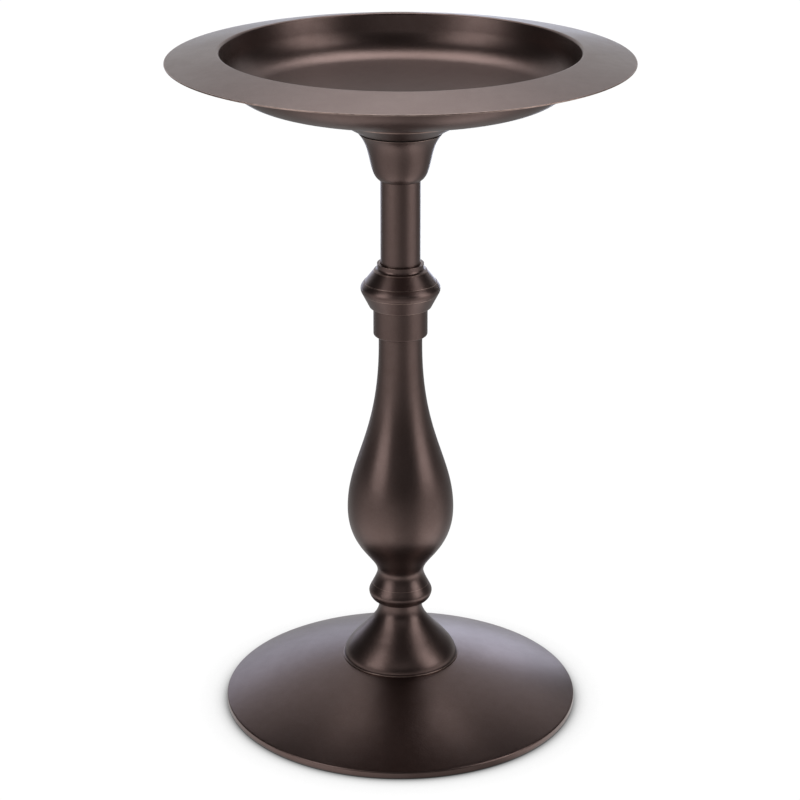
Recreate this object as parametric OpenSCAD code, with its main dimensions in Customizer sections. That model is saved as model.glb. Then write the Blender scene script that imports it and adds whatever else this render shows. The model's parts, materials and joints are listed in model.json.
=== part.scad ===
// Pedestal bird bath: a spun bowl that screws on to a turned metal column standing on a domed base.
// All pieces are rings about the Z axis. One threaded rod runs through the column and clamps it
// between a nut inside the cup and a nut under the base. Z = 0 is the ground, Z points up.

/* [Bowl] */
// Diameter over the rim
bowl_d = 508; // [460:1:620]
// Diameter of the lip, measured along its crest
lip_d = 395.4; // [320:0.2:430]
// Depth of the bowl's outside, from the crest of the lip to the lowest point
bowl_depth = 71.6; // [58:0.2:90]
// Slope at which the rim falls towards its edge, in degrees
rim_slope = 10.5; // [4:0.5:16]
// Lean of the wall above the horizontal, in degrees
wall_lean = 80; // [70:1:86]
// Slope of the floor where it meets the corner, in degrees
floor_slope = 15; // [8:1:18]
// Radius between the floor and the wall, on the outside
corner_r = 41; // [30:1:52]
// Radius over the lip
lip_r = 3; // [2.4:0.1:6]
// Thickness of the bowl's sheet
bowl_t = 1.5; // [1:0.1:2.2]

/* [Bowl mount] */
// Diameter of the saucer-shaped flange under the bowl
flange_d = 144; // [110:1:190]
// Diameter of the flange's flat middle
flange_flat_d = 92; // [80:1:100]
// Slope of the flange's underside, in degrees
flange_slope = 29.8; // [20:0.2:32]
// Thickness of the flange
flange_t = 2; // [1.5:0.1:3]
// Height from the flange's seat to the bowl's lowest point
flange_h = 18.5; // [14:0.5:24]
// Diameter of the boss
boss_d = 19; // [16:0.5:26]
// Diameter of the shoulder that the flange is welded to
boss_shoulder_d = 28; // [24:0.5:40]
// Length of the boss below the flange
boss_l = 22.3; // [18:0.1:26]
// Length of the boss's spigot above the flange's seat
boss_spigot_l = 3; // [2.5:0.1:6]
// Thickness of the rubber washer under the flange
seal_t = 1; // [0.6:0.1:2]
// Inside diameter of the rubber washer
seal_id = 78; // [60:1:82]
// Outside diameter of the rubber washer
seal_od = 88; // [86:1:91]

/* [Cup] */
// Height of the cup
cup_h = 53.7; // [46:0.1:66]
// Diameter of the cup's top edge
cup_top_d = 92.4; // [90:0.2:110]
// Diameter of the cup's waist, where the flare ends
cup_waist_d = 66.4; // [58:0.2:78]
// Height of the cup's waist above its lower edge
cup_waist_h = 20.4; // [17:0.1:25]
// Thickness of the cup's wall
cup_t = 2; // [1.5:0.1:2.6]
// Lean of the cup's wall above the horizontal where it leaves the tube, in degrees
cup_foot_lean = 31; // [20:1:45]
// Lean of the cup's wall at its waist, in degrees
cup_waist_lean = 77; // [65:1:85]
// Lean of the cup's wall at its top edge, in degrees
cup_top_lean = 49; // [35:1:65]
// Thickness of the cup's floor
cup_floor_t = 3; // [2:0.1:4]
// Depth of the skirt that covers the tube's upper end
cup_skirt = 4.4; // [3.5:0.1:5.5]

/* [Tube] */
// Outside diameter of the tube
tube_d = 44.45; // [37:0.05:46]
// Wall of the tube
tube_t = 1.5; // [1.2:0.1:2.5]
// Length of the tube
tube_l = 125; // [90:0.5:260]

/* [Collar] */
// Height of the neck ring
neck_ring_h = 8; // [6:0.1:14]
// Diameter of the neck ring
neck_ring_d = 52.4; // [51:0.1:58]
// Diameter of the neck ring's flared foot
neck_ring_foot_d = 59; // [56:0.1:66]
// Height of the upper cone
upper_cone_h = 13.6; // [10:0.1:20]
// Diameter of the upper cone's top edge
upper_cone_top_d = 59.6; // [58:0.1:70]
// Diameter of the upper cone's lower edge
upper_cone_d = 80.6; // [76:0.1:84]
// Thickness of the cones' walls
cone_t = 1.5; // [1:0.1:2.2]
// Height of the bead
bead_h = 12.7; // [11:0.1:18]
// Largest diameter of the bead
bead_d = 89.2; // [86:0.1:104]
// Diameter of the bead's lower edge
bead_foot_d = 86; // [80:0.1:100]
// Thickness of the bead's web, which carries the clamping load
bead_web_t = 6; // [4:0.1:7]
// Height from the bead's lower edge to its web
bead_recess = 2.5; // [1:0.1:4]
// Length of the bead's spigots, inside the tube and inside the baluster's neck
bead_spigot_l = 5; // [3:0.5:12]
// Height of the lower cone
lower_cone_h = 16.1; // [12:0.1:24]
// Diameter of the lower cone's lip
lower_cone_lip_d = 69.2; // [66:0.1:80]
// Diameter of the sleeve
sleeve_d = 60.8; // [57:0.1:64]
// Length of the sleeve below the lower cone
sleeve_l = 33.6; // [20:0.1:48]
// Thickness of the sleeve
sleeve_t = 1.5; // [1:0.1:2.2]
// Radius of the sleeve's lower edge
sleeve_r = 2.5; // [2:0.1:2.8]

/* [Baluster] */
// Diameter of the neck
neck_d = 49; // [47.5:0.1:52]
// Largest diameter of the belly
belly_d = 121.8; // [96:0.2:150]
// Diameter of the waist
waist_d = 53.4; // [44:0.2:62]
// Length of the straight neck, up into the collar
neck_l = 60.7; // [56:0.1:90]
// Height from the belly to the foot of the straight neck
belly_to_neck = 199.8; // [160:0.2:260]
// Height from the waist to the belly
waist_to_belly = 79.5; // [66:0.5:100]
// Height from the seam to the waist
seam_to_waist = 15.2; // [12:0.1:19]
// Thickness of the baluster's wall
baluster_t = 2; // [1.5:0.1:2.5]

/* [Knop] */
// Largest diameter of the knop
knop_d = 73; // [68:0.2:88]
// Diameter at the seam between the baluster and the ring
seam_d = 64.8; // [60:0.2:66]
// Inward lean of the knop's side at that seam, in degrees from the vertical
seam_lean = 27; // [15:1:40]
// Height of the ring
ring_h = 20.9; // [18:0.1:27]
// Height of the knop's widest point above the ring's underside
knop_h = 11.1; // [9:0.1:13]
// Diameter of the ring's underside
ring_foot_d = 56; // [52:0.2:60]
// Thickness of the ring's web
ring_web_t = 6; // [4:0.1:8]

/* [Foot bell] */
// Height of the bell
bell_h = 70.8; // [56:0.1:90]
// Diameter of the bell's neck
bell_neck_d = 49.2; // [47:0.1:52]
// Diameter of the bell's shoulder above its rim
bell_d = 131.4; // [110:0.2:160]
// Diameter where the neck's flare turns into the shoulder
bell_turn_d = 91; // [76:0.2:106]
// Height above the rim's foot where the flare turns into the shoulder
bell_turn_h = 31.4; // [24:0.2:40]
// Lean of the bell's flare above the horizontal at that turn, in degrees
bell_turn_lean = 47.5; // [35:0.5:60]
// Height of the straight neck at the bell's top
bell_neck_h = 4.4; // [2:0.1:8]
// Width by which the rim stands out from the shoulder
bell_rim_w = 1.5; // [0.8:0.1:2]
// Height of the rim
bell_rim_h = 2.4; // [1.5:0.1:4]
// Thickness of the bell's wall
bell_t = 2; // [1.5:0.1:2.5]

/* [Base] */
// Diameter of the base
base_d = 410; // [340:1:500]
// Height of the base's outer lip
base_lip_h = 9; // [7:0.1:14]
// Height at which the bell stands
dome_h = 54.6; // [46:0.2:72]
// Radius of the dome's curve, seen in section
dome_r = 643; // [440:1:1200]
// Radius of the bends at the base's edge
base_bend_r = 2.5; // [2.2:0.1:3.4]
// Width of the hem that is folded in under the edge
hem_w = 8; // [6:0.5:16]
// Thickness of the base's sheet
base_t = 2; // [1.5:0.1:2.1]
// Diameter of the cast weight
weight_d = 128; // [90:1:130]
// Thickness of the cast weight
weight_t = 22; // [10:0.5:24]

/* [Hardware] */
// Diameter of the tie rod
rod_d = 10; // [8:0.5:12]
// Pitch of the rod's thread, which sets how far one turn lifts the bowl
rod_pitch = 1.5; // [1:0.25:1.75]
// Length of the rod below the lower nut
rod_tail = 5; // [2:0.5:8]
// Length of the rod that is screwed into the boss
rod_grip = 14; // [12.5:0.1:15]
// Width of the nuts across their flats
nut_af = 17; // [13:0.5:19]
// Height of the nuts
nut_h = 8; // [6:0.1:10]
// Diameter of the plain washers
washer_d = 30; // [24:0.5:36]
// Thickness of the plain washers
washer_t = 2; // [1.5:0.1:2.5]
// Diameter of the spring washers
lock_washer_d = 18.1; // [15:0.1:21]
// Thickness of the spring washers
lock_washer_t = 2.2; // [1.6:0.1:3]
// Width of the slit in the spring washers
lock_washer_slit = 1.6; // [0.8:0.1:2.5]

/* [Hidden] */
$fn = 96;

bronze = "#4a3d3a";
cast = "#3a3534";
zinc = "#b9bcbf";
rubber = "#1d1d1f";

// Gaps between pieces that slide over or into each other, on the radius
running_gap = 0.05;
slip_gap = 0.15;
hole_gap = 0.5;
seam_gap = 1.6;
// Steps along a curve and along a small bend
curve_n = 14;
bend_n = 5;
// How far a cut runs past the face that it leaves
overrun = 1;
// Length of the knop ring's spigots, inside the baluster and inside the bell
ring_spigot_l = 2;
foot_spigot_l = 5;
// Rounding at the neck ring's top edge, and thickness of its foot's edge
neck_ring_edge_r = 1.5;
neck_ring_foot_t = 0.6;
// Thickness of the cup's top edge, of the boss's shoulder and of the bevel on the bell's rim
cup_edge_t = 0.4;
shoulder_t = 3;
rim_bevel = 1;
// The bead: height of its belly as a share of its height, and its ledge outside the upper cone
bead_belly = 0.4;
bead_ledge = 0.6;

// Length of each curve's handles, from the ground up, as a share of the height that the curve spans
bell_pull = [0.33, 0.14, 0.48, 0.37];
knop_pull = [0.49, 0.47, 0.22, 0.45];
baluster_pull = [0.4, 0.26, 0.24, 0.61, 0.3, 0.56];
cup_pull = [0.34, 0.57, 0.37, 0.4];
// Handles of the bead's outline: at its foot, below and above its belly, and at its top
bead_pull = [[0.9, 1.4], [0, -1.8], [0, 3.2], [2.4, -3]];

// Heights, from the ground up
ring_z = dome_h + bell_h;
seam_z = ring_z + ring_h;
waist_z = seam_z + seam_to_waist;
belly_z = waist_z + waist_to_belly;
neck_z = belly_z + belly_to_neck;
web_z = neck_z + neck_l + sleeve_t;
bead_z = web_z - bead_recess;
tube_z = web_z + bead_web_t;
upper_cone_z = bead_z + bead_h;
neck_ring_z = upper_cone_z + upper_cone_h;
lip_z = bead_z - lower_cone_h;
sleeve_z = lip_z - sleeve_l;
cup_floor_z = tube_z + tube_l;
cup_z = cup_floor_z - cup_skirt;
seal_z = cup_z + cup_h;
seat_z = seal_z + seal_t;
bowl_z = seat_z + flange_h;
crest_z = bowl_z + bowl_depth;
weight_z = dome_h - base_t - weight_t;
top_washer_z = cup_floor_z + cup_floor_t;
top_nut_z = top_washer_z + washer_t + lock_washer_t;
bottom_nut_z = weight_z - washer_t - lock_washer_t - nut_h;
boss_z = seat_z - boss_l;

// Radii
tube_r = tube_d / 2;
tube_bore_r = tube_r - tube_t;
neck_r = neck_d / 2;
rod_hole_r = rod_d / 2 + hole_gap;
bell_rim_r = bell_d / 2 + bell_rim_w;
base_r = base_d / 2;

// Points of an arc about c from angle a to angle b
function arc(c, r, a, b, n) =
  [for (i = [0:n]) c + r * way(a + (b - a) * i / n)];

// Points of a cubic curve from a to d that leaves towards b and arrives from c
function curve(a, b, c, d, n = curve_n) =
  [for (i = [0:n]) let (t = i / n, s = 1 - t)
    s * s * s * a + 3 * s * s * t * b + 3 * s * t * t * c + t * t * t * d];

// Direction of a line that leans by angle a above the horizontal
function way(a) = [cos(a), sin(a)];

function unit(v) = v / norm(v);
function left_of(v) = [-v.y, v.x];
function reversed(p) = [for (i = [len(p) - 1:-1:0]) p[i]];

// The path moved sideways by t, to its left when t is positive
function beside(p, t) =
  [for (i = [0:len(p) - 1])
    let (u = i > 0 ? unit(p[i] - p[i - 1]) : unit(p[1] - p[0]),
         v = i < len(p) - 1 ? unit(p[i + 1] - p[i]) : u,
         m = unit(left_of(u) + left_of(v)))
    p[i] + m * t / (m * left_of(u))];

// Two paths that share a point, as one
function joined(p, q) = concat(p, [for (i = [1:len(q) - 1]) q[i]]);

// Outline of a sheet t thick to the left of a path
function sheet(p, t) = concat(p, reversed(beside(p, t)));

// The point at distance a from p and distance b from q, to the right of the line from p to q
function reach(p, a, q, b) =
  let (d = norm(q - p), u = (q - p) / d, along = (a * a - b * b + d * d) / (2 * d))
  p + u * along - left_of(u) * sqrt(a * a - along * along);

// Turns an outline of [radius, height] points about the Z axis
module turned(outline) { rotate_extrude() polygon(outline); }

// A flat ring from radius a to radius b, from height z up to z + h
module ring(a, b, z, h) { turned([[a, z], [b, z], [b, z + h], [a, z + h]]); }

// Everything below, or above, the height z, for cutting a sheet off level
module below(z) { translate([0, z - bowl_d]) square(bowl_d); }
module above(z) { translate([0, z]) square(bowl_d); }

// ---- Bowl ----

lip_c = [lip_d / 2, crest_z - lip_r];
inner_corner_r = corner_r - bowl_t;
// Distance between the centres of the floor's curve and the corner, from the tangents between them
floor_reach = (lip_c.x * sin(wall_lean) - inner_corner_r - lip_r
  - (lip_c.y - bowl_z - corner_r) * cos(wall_lean)) / (cos(wall_lean - floor_slope) - cos(wall_lean));
floor_r = floor_reach + corner_r;
corner_c = [floor_reach * sin(floor_slope), bowl_z + floor_r - floor_reach * cos(floor_slope)];
floor_c = [0, bowl_z + floor_r];
rim_l = bowl_d / 2 - bowl_t / 2 - lip_c.x;
rim_end_c = [bowl_d / 2 - bowl_t / 2,
  lip_c.y + (lip_r - bowl_t / 2) / cos(rim_slope) - rim_l * tan(rim_slope)];

// Upper face of the bowl from its middle to its edge, and the lower face on the way back
bowl_top = concat(
  arc(floor_c, floor_r - bowl_t, -90, -90 + floor_slope, curve_n),
  arc(corner_c, inner_corner_r, -90 + floor_slope, -90 + wall_lean, curve_n),
  arc(lip_c, lip_r, 90 + wall_lean, 90 - rim_slope, 2 * bend_n));
bowl_edge = arc(rim_end_c, bowl_t / 2, 90 - rim_slope, -90 - rim_slope, 2 * bend_n);
bowl_under = concat(
  arc(floor_c, floor_r, -90, -90 + floor_slope, curve_n),
  arc(corner_c, corner_r, -90 + floor_slope, -90 + wall_lean, curve_n),
  arc(lip_c, lip_r - bowl_t, 90 + wall_lean, 90 - rim_slope, bend_n));

module bowl() {
  color(bronze) turned(concat(bowl_top, bowl_edge, reversed(bowl_under)));
}

// The saucer's edge is cut to the bowl's underside, where it is welded on
module bowl_flange() {
  flat_r = flange_flat_d / 2;
  outer_r = flange_d / 2;
  rise = (outer_r - flat_r) * tan(flange_slope);
  path = [[boss_d / 2, seat_z], [flat_r, seat_z], [outer_r, seat_z + rise], [outer_r, crest_z]];
  color(bronze) rotate_extrude() difference() {
    polygon(sheet(path, flange_t));
    polygon(concat([[0, crest_z + overrun]], bowl_under, [[bowl_d, crest_z + overrun]]));
  }
}

module bowl_boss() {
  shoulder_z = seat_z - shoulder_t;
  r = boss_d / 2;
  bore_r = rod_d / 2 + running_gap;
  color(zinc) turned([[bore_r, boss_z], [r, boss_z], [r, shoulder_z],
    [boss_shoulder_d / 2, shoulder_z], [boss_shoulder_d / 2, seat_z], [r, seat_z],
    [r, seat_z + boss_spigot_l], [bore_r, seat_z + boss_spigot_l]]);
}

module bowl_washer() {
  color(rubber) ring(seal_id / 2, seal_od / 2, seal_z, seal_t);
}

// ---- Cup, tube and collar ----

module top_cup() {
  waist = [cup_waist_d / 2, cup_z + cup_waist_h];
  foot = [tube_r + slip_gap, cup_z];
  top = [cup_top_d / 2, seal_z - cup_edge_t];
  flare_h = top.y - waist.y;
  lower = curve(foot, foot + cup_pull[0] * cup_waist_h * way(cup_foot_lean),
    waist - cup_pull[1] * cup_waist_h * way(cup_waist_lean), waist);
  upper = curve(waist, waist + cup_pull[2] * flare_h * way(cup_waist_lean),
    top - cup_pull[3] * flare_h * way(cup_top_lean), top);
  floor_r = tube_r + 2 * cup_t;
  color(bronze) rotate_extrude() difference() {
    union() {
      polygon(sheet(joined(lower, upper), cup_t));
      translate([rod_hole_r, cup_floor_z]) square([floor_r - rod_hole_r, cup_floor_t]);
      polygon([[seal_id / 2, seal_z - cup_t], [top.x - cup_t, seal_z - cup_t],
        top, [top.x, seal_z], [seal_id / 2, seal_z]]);
    }
    translate([0, cup_z - cup_t]) square([tube_r + slip_gap, cup_skirt + cup_t]);
    above(seal_z);
  }
}

module upper_tube() {
  color(bronze) ring(tube_bore_r, tube_r, tube_z, tube_l);
}

module neck_ring() {
  r = neck_ring_d / 2;
  foot_r = neck_ring_foot_d / 2;
  flare = foot_r - r;
  round_r = neck_ring_edge_r;
  top_z = neck_ring_z + neck_ring_h;
  color(bronze) turned(concat(
    [[tube_r + slip_gap, neck_ring_z], [foot_r, neck_ring_z]],
    arc([foot_r, neck_ring_z + neck_ring_foot_t + flare], flare, -90, -180, bend_n),
    arc([r - round_r, top_z - round_r], round_r, 0, 90, bend_n),
    [[tube_r + slip_gap, top_z]]));
}

module upper_cone() {
  top_z = neck_ring_z;
  path = [[upper_cone_d / 2, upper_cone_z], [upper_cone_top_d / 2, top_z], [tube_r + slip_gap, top_z]];
  color(bronze) rotate_extrude() difference() {
    polygon(sheet(path, cone_t));
    below(upper_cone_z);
  }
}

// The bead is the collar's cast middle: its web carries the tube above and the baluster below
module collar_bead() {
  belly = [bead_d / 2, bead_z + bead_belly * bead_h];
  foot = [bead_foot_d / 2, bead_z];
  top = [upper_cone_d / 2 + bead_ledge, bead_z + bead_h];
  rim_r = upper_cone_d / 2 - 2 * cone_t;
  lower = curve(foot, foot + bead_pull[0], belly + bead_pull[1], belly, bend_n);
  upper = curve(belly, belly + bead_pull[2], top + bead_pull[3], top, 2 * bend_n);
  spigot_r = tube_bore_r - 2 * cone_t;
  color(bronze) rotate_extrude() union() {
    polygon(concat([[rim_r, bead_z]], lower, upper, [[rim_r, top.y]]));
    translate([rod_hole_r, web_z]) square([rim_r + cone_t - rod_hole_r, bead_web_t]);
    translate([spigot_r, web_z]) square([tube_bore_r - slip_gap - spigot_r, bead_web_t + bead_spigot_l]);
    translate([spigot_r, web_z - bead_spigot_l])
      square([neck_r - baluster_t - slip_gap - spigot_r, bead_spigot_l + bead_web_t]);
  }
}

module lower_cone() {
  path = [[sleeve_d / 2, lip_z], [lower_cone_lip_d / 2, lip_z], [bead_foot_d / 2, bead_z]];
  color(bronze) rotate_extrude() difference() {
    polygon(sheet(path, cone_t));
    above(bead_z);
  }
}

// The sleeve hangs from a flange that is clamped between the bead's web and the baluster's neck
module sleeve() {
  r = sleeve_d / 2;
  path = concat(
    [[neck_r + slip_gap, sleeve_z]],
    arc([r - sleeve_r, sleeve_z + sleeve_r], sleeve_r, -90, 0, bend_n),
    [[r, web_z], [neck_r - baluster_t, web_z]]);
  color(bronze) turned(sheet(path, sleeve_t));
}

// ---- Baluster, knop and foot bell ----

seam = [seam_d / 2, seam_z];
seam_way = way(90 + seam_lean);

module baluster() {
  waist = [waist_d / 2, waist_z];
  belly = [belly_d / 2, belly_z];
  neck = [neck_r, neck_z];
  pull = baluster_pull;
  path = joined(joined(joined(
    curve(seam, seam + pull[0] * seam_to_waist * seam_way, waist - [0, pull[1] * seam_to_waist], waist),
    curve(waist, waist + [0, pull[2] * waist_to_belly], belly - [0, pull[3] * waist_to_belly], belly)),
    curve(belly, belly + [0, pull[4] * belly_to_neck], neck - [0, pull[5] * belly_to_neck], neck)),
    [neck, neck + [0, neck_l]]);
  color(bronze) rotate_extrude() difference() {
    polygon(sheet(path, baluster_t));
    below(seam_z);
  }
}

module knop_ring() {
  foot = [ring_foot_d / 2, ring_z];
  wide = [knop_d / 2, ring_z + knop_h];
  side_w = wide.x - foot.x;
  upper_h = ring_h - knop_h;
  under = curve(foot, foot + [knop_pull[0] * side_w, 0], wide - [0, knop_pull[1] * knop_h], wide);
  over = curve(wide, wide + [0, knop_pull[2] * upper_h], seam - knop_pull[3] * upper_h * seam_way,
    seam, bend_n);
  spigot_r = seam.x - baluster_t - seam_gap;
  inner_r = spigot_r - baluster_t;
  foot_spigot_r = bell_neck_d / 2 - bell_t - slip_gap;
  foot_spigot_z = ring_z - foot_spigot_l;
  color(bronze) turned(concat(
    [[rod_hole_r, foot_spigot_z], [foot_spigot_r, foot_spigot_z], [foot_spigot_r, ring_z]],
    joined(under, over),
    [[spigot_r, seam_z], [spigot_r, seam_z + ring_spigot_l], [inner_r, seam_z + ring_spigot_l],
      [inner_r, ring_z + ring_web_t], [rod_hole_r, ring_z + ring_web_t]]));
}

module foot_bell() {
  neck = [bell_neck_d / 2, ring_z];
  neck_end = neck - [0, bell_neck_h];
  turn = [bell_turn_d / 2, dome_h + bell_turn_h];
  turn_way = way(180 - bell_turn_lean);
  shoulder = [bell_d / 2, dome_h + bell_rim_h];
  shoulder_h = turn.y - shoulder.y;
  flare_h = neck_end.y - turn.y;
  path = joined(joined(joined(
    [[bell_rim_r, dome_h], [bell_rim_r, shoulder.y - rim_bevel], shoulder],
    curve(shoulder, shoulder + [0, bell_pull[0] * shoulder_h],
      turn - bell_pull[1] * shoulder_h * turn_way, turn)),
    curve(turn, turn + bell_pull[2] * flare_h * turn_way,
      neck_end - [0, bell_pull[3] * flare_h], neck_end)),
    [neck_end, neck]);
  color(bronze) turned(sheet(path, bell_t));
}

// ---- Base ----

// The dome's curve passes through the bell's rim and runs into the bend at the edge
module base_dome() {
  b = base_bend_r;
  seat = [bell_rim_r, dome_h];
  upper_c = [base_r - b, base_lip_h - b];
  dome_c = reach(seat, dome_r, upper_c, dome_r - b);
  edge_way = upper_c - dome_c;
  seat_way = seat - dome_c;
  edge_a = atan2(edge_way.y, edge_way.x);
  seat_a = atan2(seat_way.y, seat_way.x);
  path = concat(
    [[base_r - hem_w, 0]],
    arc([base_r - b, b], b, -90, 0, bend_n),
    arc(upper_c, b, 0, edge_a, bend_n),
    [for (i = [1:curve_n]) dome_c + dome_r * way(edge_a + (seat_a - edge_a) * i / curve_n)],
    [[rod_hole_r, dome_h]]);
  color(bronze) turned(sheet(path, base_t));
}

module base_weight() {
  color(cast) ring(rod_hole_r, weight_d / 2, weight_z, weight_t);
}

// ---- Tie rod, nuts and washers ----

module plain_washer(z) {
  color(zinc) ring(rod_hole_r, washer_d / 2, z, washer_t);
}

module spring_washer(z) {
  color(zinc) difference() {
    ring(rod_hole_r, lock_washer_d / 2, z, lock_washer_t);
    translate([0, -lock_washer_slit / 2, z - overrun])
      cube([lock_washer_d, lock_washer_slit, lock_washer_t + 2 * overrun]);
  }
}

module hex_nut(z) {
  color(zinc) difference() {
    translate([0, 0, z]) cylinder(r = nut_af / 2 / cos(30), h = nut_h, $fn = 6);
    translate([0, 0, z - overrun]) cylinder(r = rod_d / 2 + running_gap, h = nut_h + 2 * overrun);
  }
}

module top_washer() { plain_washer(top_washer_z); }
module top_lock_washer() { spring_washer(top_washer_z + washer_t); }
module top_nut() { hex_nut(top_nut_z); }
module bottom_washer() { plain_washer(weight_z - washer_t); }
module bottom_lock_washer() { spring_washer(bottom_nut_z + nut_h); }
module bottom_nut() { hex_nut(bottom_nut_z); }

module tie_rod() {
  r = rod_d / 2;
  z = bottom_nut_z - rod_tail;
  top_z = boss_z + rod_grip;
  chamfer = rod_pitch / 2;
  color(zinc) turned([[0, z], [r - chamfer, z], [r, z + chamfer], [r, top_z - chamfer],
    [r - chamfer, top_z], [0, top_z]]);
}

bowl();
bowl_flange();
bowl_boss();
bowl_washer();
top_cup();
top_washer();
top_lock_washer();
top_nut();
upper_tube();
neck_ring();
upper_cone();
collar_bead();
lower_cone();
sleeve();
baluster();
knop_ring();
foot_bell();
base_dome();
base_weight();
bottom_washer();
bottom_lock_washer();
bottom_nut();
tie_rod();
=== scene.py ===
"""A pedestal bird bath: a wide-rimmed spun bowl on a turned metal column with a domed base.

Every piece but the two spring washers is an outline of [radius, height] points carried round the Z
axis. The outlines repeat the design's own sizes, in metres, and take their heights from the frame.
"""

import json
from math import radians

import bmesh
import bpy
import numpy as np
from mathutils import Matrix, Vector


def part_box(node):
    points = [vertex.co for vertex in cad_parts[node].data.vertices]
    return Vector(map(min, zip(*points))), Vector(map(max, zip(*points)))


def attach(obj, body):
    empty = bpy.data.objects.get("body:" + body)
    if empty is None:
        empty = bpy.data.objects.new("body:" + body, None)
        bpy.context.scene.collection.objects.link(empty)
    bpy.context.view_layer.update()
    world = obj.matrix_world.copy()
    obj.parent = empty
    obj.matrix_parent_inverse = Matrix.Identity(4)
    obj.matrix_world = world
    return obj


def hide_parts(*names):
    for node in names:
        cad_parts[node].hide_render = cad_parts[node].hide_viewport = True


MM = 0.001

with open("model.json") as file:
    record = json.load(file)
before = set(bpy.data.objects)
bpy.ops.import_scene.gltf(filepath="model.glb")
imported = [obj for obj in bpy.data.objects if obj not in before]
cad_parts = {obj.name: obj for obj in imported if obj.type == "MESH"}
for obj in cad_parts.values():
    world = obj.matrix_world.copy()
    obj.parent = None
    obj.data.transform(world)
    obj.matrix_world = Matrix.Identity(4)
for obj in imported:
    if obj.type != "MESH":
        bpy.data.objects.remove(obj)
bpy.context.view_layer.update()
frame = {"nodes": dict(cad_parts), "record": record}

# ---- Camera ----

CAMERA_PLACE = (0.0, -2.514, 1.318)
CAMERA_PITCH = 20.65  # degrees below the horizon
LENS = 106.65  # mm, on a 36 mm wide sensor
SENSOR = 36.0
SHIFT = (-0.0006, 0.0015)  # centres the bath in the frame


def make_camera():
    data = bpy.data.cameras.new("camera")
    data.lens = LENS
    data.sensor_width = SENSOR
    data.shift_x, data.shift_y = SHIFT
    camera = bpy.data.objects.new("camera", data)
    bpy.context.scene.collection.objects.link(camera)
    camera.location = CAMERA_PLACE
    camera.rotation_euler = (radians(90 - CAMERA_PITCH), 0, 0)
    bpy.context.scene.camera = camera


make_camera()

# ---- Outlines ----


def way(angle):
    """Direction of a line that leans by angle degrees above the horizontal."""
    return np.array([np.cos(np.radians(angle)), np.sin(np.radians(angle))])


def point(radius, height):
    return np.array([radius, height])


def arc(centre, radius, start, end, steps):
    """Points on a circle about centre, from the angle start to the angle end, in degrees."""
    angle = np.radians(np.linspace(start, end, steps + 1))
    return centre + radius * np.stack([np.cos(angle), np.sin(angle)], 1)


def curve(start, leave, arrive, end, steps=28):
    """Cubic curve: start and end weigh (1-t)^3 and t^3, the two handles 3t(1-t)^2 and 3t^2(1-t)."""
    t = np.linspace(0, 1, steps + 1)[:, None]
    s = 1 - t
    return s**3 * start + 3 * s * s * t * leave + 3 * s * t * t * arrive + t**3 * end


def joined(*paths):
    """The paths one after another, with the points that two neighbours share kept once."""
    path = np.concatenate([np.atleast_2d(p) for p in paths])
    apart = np.linalg.norm(np.diff(path, axis=0), axis=1) > 1e-7
    return path[np.concatenate([[True], apart])]


def left_of(v):
    return np.stack([-v[..., 1], v[..., 0]], -1)


def unit(v):
    return v / np.linalg.norm(v, axis=-1, keepdims=True)


def beside(path, t):
    """The path moved t to its left: each point goes along the bisector of its two neighbours."""
    step = unit(np.diff(path, axis=0))
    before = np.concatenate([step[:1], step])
    after = np.concatenate([step, step[-1:]])
    middle = unit(left_of(before) + left_of(after))
    return path + middle * t / np.sum(middle * left_of(before), 1, keepdims=True)


def sheet(path, t):
    """Closed outline of a sheet t thick to the left of a path."""
    return joined(path, beside(path, t)[::-1])


def enclosed(outline):
    """Twice the area inside a closed outline, negative if it runs clockwise."""
    ahead = np.roll(outline, -1, 0)
    return np.sum(outline[:, 0] * ahead[:, 1] - ahead[:, 0] * outline[:, 1])


CORNER_SHARE = 0.4  # of a side, at most, that the rounding of one corner takes


def softened(outline, radius, sharp=20, steps=5, hold=0.6 * MM):
    """Rounds the corners of a closed outline that turn by more than sharp degrees.

    A corner p between the directions u and v becomes the parabola from p - d*u to p + d*v with its
    handle at p, where d = radius * tan(turn / 2), at most CORNER_SHARE of either side. One more point stands
    beyond each end, so that the shading stays flat on the faces next to the corner. Also gives the
    bend at each point: 1 on a rounded edge, -1 in a hollow corner, else 0.
    """
    into = outline - np.roll(outline, 1, 0)
    away = np.roll(outline, -1, 0) - outline
    room = CORNER_SHARE * np.minimum(np.linalg.norm(into, axis=1), np.linalg.norm(away, axis=1))
    u, v = unit(into), unit(away)
    turn = np.arccos(np.clip(np.sum(u * v, 1), -1, 1))
    corner = np.degrees(turn) > sharp
    setback = np.where(corner, np.minimum(radius * np.tan(turn / 2), room), 0)[:, None]
    beyond = np.minimum(setback[:, 0] + hold, 1.1 * room)[:, None]
    t = np.linspace(0, 1, steps + 1)[None, :, None]
    first, last = outline - setback * u, outline + setback * v
    bend = (1 - t) ** 2 * first[:, None] + 2 * t * (1 - t) * outline[:, None] + t**2 * last[:, None]
    points = np.concatenate([(outline - beyond * u)[:, None], bend, (outline + beyond * v)[:, None]], 1)
    keep = np.repeat(corner[:, None], steps + 3, 1)
    keep[:, 1] = True
    outward = np.sign(enclosed(outline)) * np.sign(u[:, 0] * v[:, 1] - u[:, 1] * v[:, 0])
    edge = np.zeros(keep.shape)
    edge[corner, 1:-1] = outward[corner, None]
    return points[keep], edge[keep]


def merge_pole(mesh):
    """Joins the points that lie together on the axis, so that the quads there become triangles."""
    work = bmesh.new()
    work.from_mesh(mesh)
    bmesh.ops.remove_doubles(work, verts=work.verts, dist=1e-7)
    work.to_mesh(mesh)
    work.free()


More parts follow.
